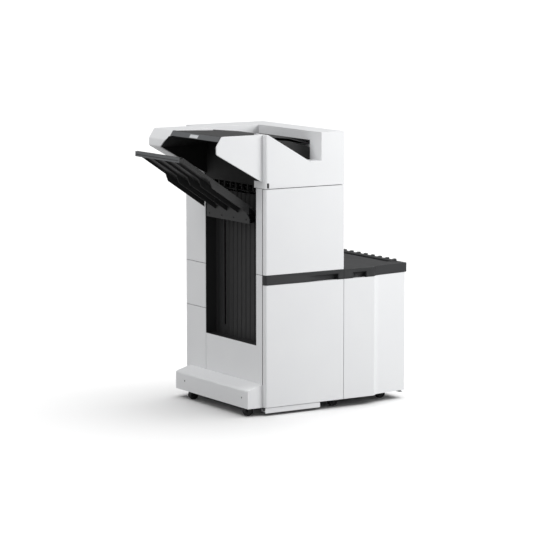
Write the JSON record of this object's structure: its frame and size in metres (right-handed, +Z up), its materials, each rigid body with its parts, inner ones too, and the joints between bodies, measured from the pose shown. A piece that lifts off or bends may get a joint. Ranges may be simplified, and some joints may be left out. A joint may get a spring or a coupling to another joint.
{
  "type": "paper finisher",
  "caption": "Floor-standing paper finisher for an office copier: tall stacking tower with upper tray and lift-down stack tray, and a low docking cabinet with doors.",
  "frame": {"origin": "on the floor, under the middle of the machine's bounding box with the stack tray at the top of its travel", "axes": "+X to the machine's right, towards the copier; -Y is the front with the doors; +Z up"},
  "size_m": [1.145, 0.669, 1.222],
  "materials": {
    "white_cover": "fine texture, moulded",
    "black_plastic": "fine texture, moulded",
    "dark_plastic": "satin, moulded",
    "carriage_grey": "satin powder coat",
    "frame_steel": "zinc-plated sheet",
    "bright_steel": "ground bar",
    "screw_steel": "plated",
    "roller_rubber": "matt",
    "belt_rubber": "toothed",
    "caster_black": "moulded nylon",
    "caster_tyre": "matt"
  },
  "bodies": {
    "chassis": {"base_plate": "frame_steel", "tower_front_frame": "frame_steel", "tower_rear_frame": "frame_steel", "cabinet_front_frame": "frame_steel", "cabinet_rear_frame": "frame_steel", "top_plate": "frame_steel", "cross_stays": "bright_steel", "left_front_cover": "white_cover", "left_lower_cover": "white_cover", "left_rear_upper_cover": "white_cover", "left_rear_middle_cover": "white_cover", "left_rear_lower_cover": "white_cover", "recess_liner": "black_plastic", "tower_rear_cover": "white_cover", "cabinet_rear_cover": "white_cover", "tower_right_cover": "white_cover", "cabinet_right_cover": "white_cover", "plinth_cover": "white_cover", "plinth_screws": "screw_steel", "kick_strip": "white_cover", "front_top_cover": "white_cover", "rear_top_cover": "white_cover", "right_top_cover": "white_cover", "front_wing": "white_cover", "rear_wing": "white_cover", "upper_tray": "black_plastic", "exit_unit_cover": "black_plastic", "grip_band": "dark_plastic", "cabinet_top_cover": "dark_plastic", "entry_guide": "dark_plastic", "door_hinge_pins": "bright_steel", "door_foot_brackets": "frame_steel", "lift_belts": "belt_rubber", "compile_tray": "bright_steel", "stapler_rods": "bright_steel", "control_box": "frame_steel", "docking_plate": "frame_steel"},
    "stack_lift": {"stack_tray": "black_plastic", "stack_tray_carriage": "carriage_grey"},
    "upper_door_leaf": {"upper_door": "white_cover"},
    "lower_door_leaf": {"lower_door": "white_cover"},
    "right_door_leaf": {"right_door": "white_cover"},
    "lift_drive": {"lift_shaft": "bright_steel"},
    "exit_drive": {"lower_exit_roller": "roller_rubber"},
    "exit_idler": {"lower_exit_idler": "roller_rubber"},
    "upper_exit_drive": {"upper_exit_roller": "roller_rubber"},
    "transport_drive": {"transport_roller": "roller_rubber"},
    "stapler_head": {"stapler": "black_plastic"},
    "front_left_fork": {"caster_front_left_fork": "caster_black"},
    "front_left_wheel": {"caster_front_left_wheel": "caster_tyre"},
    "rear_left_fork": {"caster_rear_left_fork": "caster_black"},
    "rear_left_wheel": {"caster_rear_left_wheel": "caster_tyre"},
    "front_middle_fork": {"caster_front_middle_fork": "caster_black"},
    "front_middle_wheel": {"caster_front_middle_wheel": "caster_tyre"},
    "rear_middle_fork": {"caster_rear_middle_fork": "caster_black"},
    "rear_middle_wheel": {"caster_rear_middle_wheel": "caster_tyre"},
    "front_right_fork": {"caster_front_right_fork": "caster_black"},
    "front_right_wheel": {"caster_front_right_wheel": "caster_tyre"},
    "rear_right_fork": {"caster_rear_right_fork": "caster_black"},
    "rear_right_wheel": {"caster_rear_right_wheel": "caster_tyre"}
  },
  "joints": [
    {"name": "stack_tray_lift", "type": "slide", "parent": "chassis", "child": "stack_lift", "axis": [0, 0, 1], "range_m": [-0.48, 0]},
    {"name": "upper_door_hinge", "type": "hinge", "parent": "chassis", "child": "upper_door_leaf", "pos_m": [-0.1905, -0.3225, 0.8], "axis": [0, 0, -1], "range_deg": [0, 110]},
    {"name": "lower_door_hinge", "type": "hinge", "parent": "chassis", "child": "lower_door_leaf", "pos_m": [-0.1905, -0.3225, 0.3], "axis": [0, 0, -1], "range_deg": [0, 110]},
    {"name": "right_door_hinge", "type": "hinge", "parent": "chassis", "child": "right_door_leaf", "pos_m": [0.5515, -0.2765, 0.3], "axis": [0, 0, 1], "range_deg": [0, 100]},
    {"name": "lift_shaft_spin", "type": "hinge", "parent": "chassis", "child": "lift_drive", "pos_m": [-0.1135, 0, 0.321], "axis": [0, 1, 0], "continuous": true},
    {"name": "exit_roller_spin", "type": "hinge", "parent": "chassis", "child": "exit_drive", "pos_m": [-0.1315, 0, 0.956], "axis": [0, 1, 0], "continuous": true},
    {"name": "exit_idler_spin", "type": "hinge", "parent": "chassis", "child": "exit_idler", "pos_m": [-0.1315, 0, 0.9763], "axis": [0, 1, 0], "continuous": true},
    {"name": "upper_exit_spin", "type": "hinge", "parent": "chassis", "child": "upper_exit_drive", "pos_m": [0.1055, 0, 1.159], "axis": [0, 1, 0], "continuous": true},
    {"name": "transport_spin", "type": "hinge", "parent": "chassis", "child": "transport_drive", "pos_m": [0.1455, 0, 0.838], "axis": [0, 1, 0], "continuous": true},
    {"name": "stapler_travel", "type": "slide", "parent": "chassis", "child": "stapler_head", "axis": [0, 1, 0], "range_m": [-0.15, 0.15]},
    {"name": "front_left_swivel", "type": "hinge", "parent": "chassis", "child": "front_left_fork", "pos_m": [-0.2405, -0.2745, 0.06], "axis": [0, 0, 1], "continuous": true},
    {"name": "front_left_roll", "type": "hinge", "parent": "front_left_fork", "child": "front_left_wheel", "pos_m": [-0.2555, -0.2745, 0.022], "axis": [0, 1, 0], "continuous": true},
    {"name": "rear_left_swivel", "type": "hinge", "parent": "chassis", "child": "rear_left_fork", "pos_m": [-0.2405, 0.1885, 0.06], "axis": [0, 0, 1], "continuous": true},
    {"name": "rear_left_roll", "type": "hinge", "parent": "rear_left_fork", "child": "rear_left_wheel", "pos_m": [-0.2555, 0.1885, 0.022], "axis": [0, 1, 0], "continuous": true},
    {"name": "front_middle_swivel", "type": "hinge", "parent": "chassis", "child": "front_middle_fork", "pos_m": [0.1995, -0.2745, 0.06], "axis": [0, 0, 1], "continuous": true},
    {"name": "front_middle_roll", "type": "hinge", "parent": "front_middle_fork", "child": "front_middle_wheel", "pos_m": [0.1845, -0.2745, 0.022], "axis": [0, 1, 0], "continuous": true},
    {"name": "rear_middle_swivel", "type": "hinge", "parent": "chassis", "child": "rear_middle_fork", "pos_m": [0.1995, 0.2745, 0.06], "axis": [0, 0, 1], "continuous": true},
    {"name": "rear_middle_roll", "type": "hinge", "parent": "rear_middle_fork", "child": "rear_middle_wheel", "pos_m": [0.1845, 0.2745, 0.022], "axis": [0, 1, 0], "continuous": true},
    {"name": "front_right_swivel", "type": "hinge", "parent": "chassis", "child": "front_right_fork", "pos_m": [0.4885, -0.2265, 0.06], "axis": [0, 0, 1], "continuous": true},
    {"name": "front_right_roll", "type": "hinge", "parent": "front_right_fork", "child": "front_right_wheel", "pos_m": [0.4735, -0.2265, 0.022], "axis": [0, 1, 0], "continuous": true},
    {"name": "rear_right_swivel", "type": "hinge", "parent": "chassis", "child": "rear_right_fork", "pos_m": [0.4765, 0.2465, 0.06], "axis": [0, 0, 1], "continuous": true},
    {"name": "rear_right_roll", "type": "hinge", "parent": "rear_right_fork", "child": "rear_right_wheel", "pos_m": [0.4615, 0.2465, 0.022], "axis": [0, 1, 0], "continuous": true}
  ],
  "couplings": [
    {"joint": "lift_shaft_spin", "follows": "stack_tray_lift", "rad_per_m": 83.333},
    {"joint": "exit_idler_spin", "follows": "exit_roller_spin", "ratio": -1}
  ]
}
